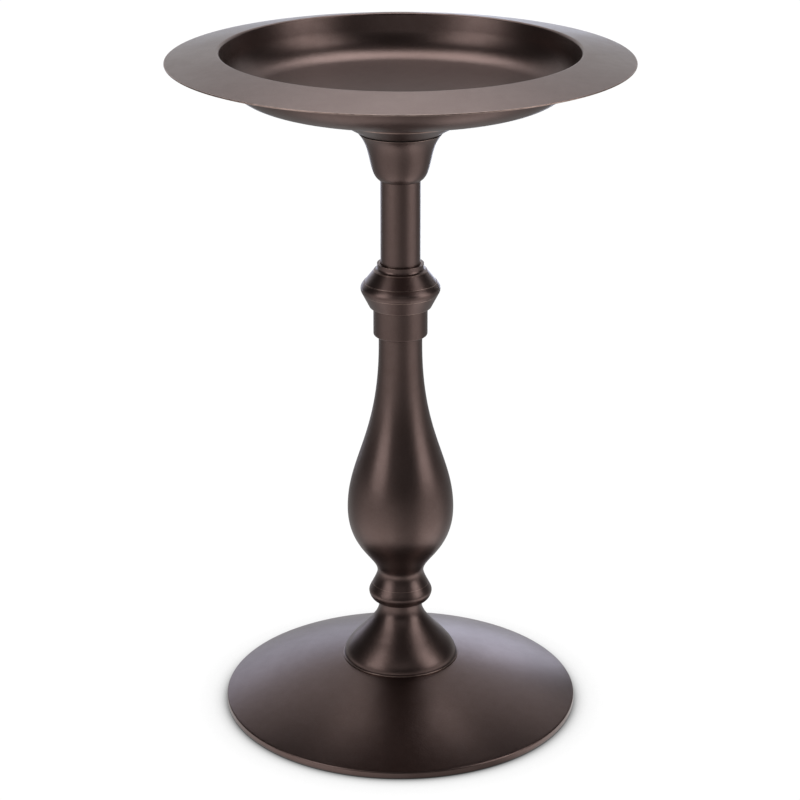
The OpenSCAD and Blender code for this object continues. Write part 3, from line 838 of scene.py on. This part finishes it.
def bronze_coat():
    """Dark bronze powder coat: brown with a metallic flake, cloudy by a few per cent, rubbed on edges with a
    painted highlight there, and with painted shade in hollow corners.
    """
    material, tree, shader = start_material(
        "bronze_coat", Metallic=0.96, Coat_Weight=0.12, Coat_Roughness=0.30, Coat_IOR=1.5)
    mottle = group(tree, MOTTLE, Scale=16.0, Contrast=1.8)
    speckle = group(tree, MOTTLE, Scale=95.0, Contrast=1.6)
    where = place(tree, "ShaderNodeTexCoord").outputs["Object"]
    cell = place(tree, "ShaderNodeTexVoronoi", [("Vector", where), ("Scale", 2600.0)]).outputs["Color"]
    spark = place(tree, "ShaderNodeMapRange", [
        ("Value", cell), ("From Min", 0.72), ("From Max", 1.0), ("To Min", 0.0), ("To Max", 0.5)]).outputs[0]
    tone = maths(tree, "ADD", maths(tree, "MULTIPLY", mottle, 0.6), maths(tree, "MULTIPLY", speckle, 0.4))
    colour = mix(tree, tone, BRONZE_DEEP, BRONZE_WARM)
    colour = mix(tree, spark, colour, BRONZE_FLAKE)
    worn_and_highlight, painted_corner_shade = group(tree, BENDS, Wear=0.8, Pool=0.6, Scale=160.0)
    # painted shade darkens the hollow corners
    colour = mix(tree, painted_corner_shade, colour, BRONZE_SHADE)
    # edges lighter: part rubbed wear, part painted highlight
    tree.links.new(mix(tree, worn_and_highlight, colour, BRONZE_RUBBED_HIGHLIGHT), shader.inputs["Base Color"])
    tree.links.new(between(tree, tone, 0.38, 0.29), shader.inputs["Roughness"])
    relief = group(tree, GRAIN, Peel_scale=420.0, Fine_scale=1700.0, Peel_share=0.55)
    tree.links.new(bump(tree, relief, 0.12 * MM), shader.inputs["Normal"])
    return material


def zinc_plate():
    """Bright zinc: pale metal with cloudy roughness and fine turning grain."""
    material, tree, shader = start_material("zinc_plate", Metallic=1.0)
    mottle = group(tree, MOTTLE, Scale=90.0, Contrast=2.2)
    tree.links.new(mix(tree, mottle, ZINC_DULL, ZINC_BRIGHT), shader.inputs["Base Color"])
    tree.links.new(between(tree, mottle, 0.42, 0.24), shader.inputs["Roughness"])
    relief = group(tree, GRAIN, Peel_scale=900.0, Fine_scale=3000.0, Peel_share=0.4)
    tree.links.new(bump(tree, relief, 0.08 * MM), shader.inputs["Normal"])
    return material


def zinc_thread():
    """Zinc on a right-hand thread, with painted shade in its roots. The ridge's height at (a, z) is a
    triangle wave of z/pitch - a/2pi.
    """
    material, tree, shader = start_material("zinc_thread", Metallic=1.0)
    where = place(tree, "ShaderNodeTexCoord").outputs["Object"]
    axis = place(tree, "ShaderNodeSeparateXYZ", [(0, where)]).outputs
    turn = maths(tree, "DIVIDE", maths(tree, "ARCTAN2", axis["Y"], axis["X"]), 2 * np.pi)
    phase = maths(tree, "SUBTRACT", maths(tree, "DIVIDE", axis["Z"], ROD_PITCH), turn)
    ridge = maths(tree, "MULTIPLY", maths(tree, "PINGPONG", phase, 0.5), 2.0)
    # painted shade: the thread's roots darker than its crests
    tree.links.new(mix(tree, ridge, THREAD_ROOT_SHADE, THREAD_CREST), shader.inputs["Base Color"])
    mottle = group(tree, MOTTLE, Scale=90.0, Contrast=2.2)
    tree.links.new(between(tree, mottle, 0.42, 0.26), shader.inputs["Roughness"])
    tree.links.new(bump(tree, ridge, 0.6 * MM), shader.inputs["Normal"])
    return material


def raw_casting():
    """Sand-cast iron under a black wash: coarse grain with a little rust in cloudy patches."""
    material, tree, shader = start_material("raw_casting", Metallic=0.3)
    mottle = group(tree, MOTTLE, Scale=60.0, Contrast=2.6)
    tree.links.new(mix(tree, mottle, IRON_BLACK, IRON_RUST), shader.inputs["Base Color"])
    tree.links.new(between(tree, mottle, 0.62, 0.85), shader.inputs["Roughness"])
    relief = group(tree, GRAIN, Peel_scale=260.0, Fine_scale=900.0, Peel_share=0.7)
    tree.links.new(bump(tree, relief, 0.7 * MM), shader.inputs["Normal"])
    return material


def washer_rubber():
    """Black moulded rubber with a faint bloom."""
    material, tree, shader = start_material("washer_rubber", Metallic=0.0)
    mottle = group(tree, MOTTLE, Scale=70.0, Contrast=1.8)
    tree.links.new(mix(tree, mottle, RUBBER_BLACK, RUBBER_BLOOM), shader.inputs["Base Color"])
    tree.links.new(between(tree, mottle, 0.70, 0.86), shader.inputs["Roughness"])
    relief = group(tree, GRAIN, Peel_scale=700.0, Fine_scale=2400.0, Peel_share=0.4)
    tree.links.new(bump(tree, relief, 0.15 * MM), shader.inputs["Normal"])
    return material


FINISHES = {
    "bronze_coat": bronze_coat(),
    "zinc_plate": zinc_plate(),
    "raw_casting": raw_casting(),
    "washer_rubber": washer_rubber(),
}
SLOT_OF = {part["node"]: part["material_slot"] for part in frame["record"]["subparts"]}
THREADED = {"tie_rod": zinc_thread()}


def dress(piece, node):
    """Gives a piece the finish that the record names for a node, or that finish with a thread."""
    piece.data.materials.clear()
    piece.data.materials.append(THREADED.get(node, FINISHES[SLOT_OF[node]]))


for node, name, body, outline in PIECES:
    piece = turned(name, *outline, **TURNINGS.get(node, {}))
    dress(piece, node)
    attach(piece, body)
    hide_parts(node)

for node, cad in frame["nodes"].items():
    for holder in cad.material_slots:
        holder.material = FINISHES[SLOT_OF[node]]

# ---- Floor and light ----

FLOOR_SIZE = 40.0
FLOOR_DROP = 0.3 * MM  # keeps the floor clear of the hem
SHADE_REACH = 50 * MM
SHADE_POWER = 2.0
WHITE = 1.03  # the floor as it is seen, where nothing shades it
LEFT_AZIMUTH = -54
RIGHT_AZIMUTH = 69

# Ramps: start, end, value at the start, value at the end. The floor's glow, painted light as the metal sees
# it, falls with the distance from the column. In front of each side lamp lies a painted brighter patch,
# which ramps by the cosine of the angle from the lamp's azimuth and is stronger close to the base.
OPEN_GLOW = (0.25, 1.1, 0.52, 0.30)
LEFT_PATCH = (0.50, 0.97, 0, 0.42)
RIGHT_PATCH = (0.78, 0.98, 0, 0.60)
PATCH_GAIN = (0.35, 0.80, 1.7, 1.0)
# The room is bright behind the bath and darkens upwards
ROOM_BEHIND = (0.35, 0.95, 0.015, 0.24)
ROOM_HEIGHT = (0.60, 0.82, 1.0, 0.20)


def ramp(tree, value, start, end, first, last):
    """Smooth step of a value: first up to start, last from end on."""
    return place(tree, "ShaderNodeMapRange", [
        ("Value", value), ("From Min", start), ("From Max", end), ("To Min", first), ("To Max", last)],
        interpolation_type="SMOOTHSTEP").outputs[0]


def towards(tree, where, azimuth, patch):
    """A patch of light on the floor around an azimuth: the cosine of the angle from it, ramped."""
    a = radians(azimuth)
    along = place(tree, "ShaderNodeVectorMath", [(0, where)], operation="NORMALIZE").outputs[0]
    cosine = place(tree, "ShaderNodeVectorMath", [(0, along), (1, (np.sin(a), -np.cos(a), 0))],
                   operation="DOT_PRODUCT").outputs["Value"]
    return ramp(tree, cosine, *patch)


def make_floor():
    """A plain pale floor that glows by emission: painted light, dim away from the bath and brighter in front
    of each side lamp.

    A painted contact shadow darkens it under whatever stands on it.
    """
    half = FLOOR_SIZE / 2
    mesh = bpy.data.meshes.new("floor")
    corners = [(-half, -half, 0), (half, -half, 0), (half, half, 0), (-half, half, 0)]
    mesh.from_pydata(corners, [], [(0, 1, 2, 3)])
    floor = bpy.data.objects.new("floor", mesh)
    bpy.context.scene.collection.objects.link(floor)
    floor.location.z = -FLOOR_DROP
    material = bpy.data.materials.new("pale_floor")
    material.use_nodes = True
    tree = material.node_tree
    tree.nodes.clear()
    # painted contact shadow: ambient occlusion darkens the floor under the bath
    shade = place(tree, "ShaderNodeAmbientOcclusion", [("Distance", SHADE_REACH)], samples=16).outputs["AO"]
    seen = maths(tree, "MULTIPLY", maths(tree, "POWER", shade, SHADE_POWER), WHITE)
    where = place(tree, "ShaderNodeTexCoord").outputs["Object"]
    distance = place(tree, "ShaderNodeVectorMath", [(0, where)], operation="LENGTH").outputs["Value"]
    patches = maths(tree, "ADD", towards(tree, where, LEFT_AZIMUTH, LEFT_PATCH),
                    towards(tree, where, RIGHT_AZIMUTH, RIGHT_PATCH))
    patches = maths(tree, "MULTIPLY", patches, ramp(tree, distance, *PATCH_GAIN))
    open_glow = ramp(tree, distance, *OPEN_GLOW)
    # painted light: the glow that the metal sees, with the painted shadow under the bath
    glow = maths(tree, "MULTIPLY", maths(tree, "ADD", open_glow, patches), shade)
    camera_ray = place(tree, "ShaderNodeLightPath").outputs["Is Camera Ray"]
    level = place(tree, "ShaderNodeMix", [(0, camera_ray), (2, glow), (3, seen)]).outputs[0]
    light = place(tree, "ShaderNodeEmission", [("Strength", level)])
    place(tree, "ShaderNodeOutputMaterial", [("Surface", light.outputs[0])])
    mesh.materials.append(material)


def make_world():
    """A pale room: light behind the object, fading to dark above it and towards the camera."""
    world = bpy.data.worlds.new("studio")
    bpy.context.scene.world = world
    world.use_nodes = True
    tree = world.node_tree
    tree.nodes.clear()
    where = place(tree, "ShaderNodeTexCoord").outputs["Generated"]
    axis = place(tree, "ShaderNodeSeparateXYZ", [(0, where)])
    room = maths(tree, "MULTIPLY", ramp(tree, axis.outputs["Y"], *ROOM_BEHIND),
                 ramp(tree, axis.outputs["Z"], *ROOM_HEIGHT))
    camera_ray = place(tree, "ShaderNodeLightPath").outputs["Is Camera Ray"]
    level = place(tree, "ShaderNodeMix", [(0, camera_ray), (2, room), (3, 1.0)]).outputs[0]
    air = place(tree, "ShaderNodeBackground", [("Color", (1.0, 1.0, 1.0, 1)), ("Strength", level)])
    place(tree, "ShaderNodeOutputWorld", [("Surface", air.outputs[0])])


NEUTRAL = (0.98, 0.99, 1.0)
PALE = (0.99, 1.0, 1.02)
COOL = (0.88, 0.97, 1.22)


def soft_box(name, at, facing, size, radiance, tint=NEUTRAL):
    """A rectangular lamp that the camera doesn't see. facing turns it about X, then about Z, in degrees.

    Facing 0, 0 it shines straight down. A one-sided lamp of radiance L and area A gives pi * A * L watts.
    """
    data = bpy.data.lights.new(name, "AREA")
    data.shape = "RECTANGLE"
    data.size, data.size_y = size
    data.energy = np.pi * size[0] * size[1] * radiance
    data.color = tint
    lamp = bpy.data.objects.new(name, data)
    bpy.context.scene.collection.objects.link(lamp)
    lamp.location = at
    lamp.rotation_euler = (radians(facing[0]), 0, radians(facing[1]))
    lamp.visible_camera = False


def side_box(name, azimuth, distance, centre_z, size, radiance):
    """An upright soft box that faces the column. Azimuth 0 is towards the camera, + to the right."""
    a = radians(azimuth)
    soft_box(name, (distance * np.sin(a), -distance * np.cos(a), centre_z), (90, azimuth), size, radiance)


def back_box(name, x, centre_z, size, radiance, tint):
    """An upright soft box behind the bath that faces the camera."""
    soft_box(name, (x, BACK_Y, centre_z), (90, 180), size, radiance, tint)


SIDE_DISTANCE = 1.8
SIDE_Z = 1.65
FRONT_DISTANCE = 1.3
BACK_Y = 1.6
BACK_LOW_Z = 0.39

make_floor()
make_world()
side_box("left_box", LEFT_AZIMUTH, SIDE_DISTANCE, SIDE_Z, (1.1, 2.5), 2.05)
side_box("right_box", RIGHT_AZIMUTH, SIDE_DISTANCE, SIDE_Z, (1.0, 2.5), 2.4)
side_box("front_box", 0, FRONT_DISTANCE, 1.05, (1.2, 0.5), 0.4)
soft_box("overhead_box", (0, 0.52, 1.7), (0, 0), (0.95, 0.66), 3.6)
back_box("back_left_box", -0.7, BACK_LOW_Z, (1.3, 2 * BACK_LOW_Z), 1.12, COOL)
back_box("back_right_box", 0.38, BACK_LOW_Z, (0.7, 2 * BACK_LOW_Z), 1.95, COOL)
back_box("back_high_box", 0, 1.7, (3.4, 1.8), 0.57, PALE)
bpy.context.scene.view_settings.view_transform = "Standard"
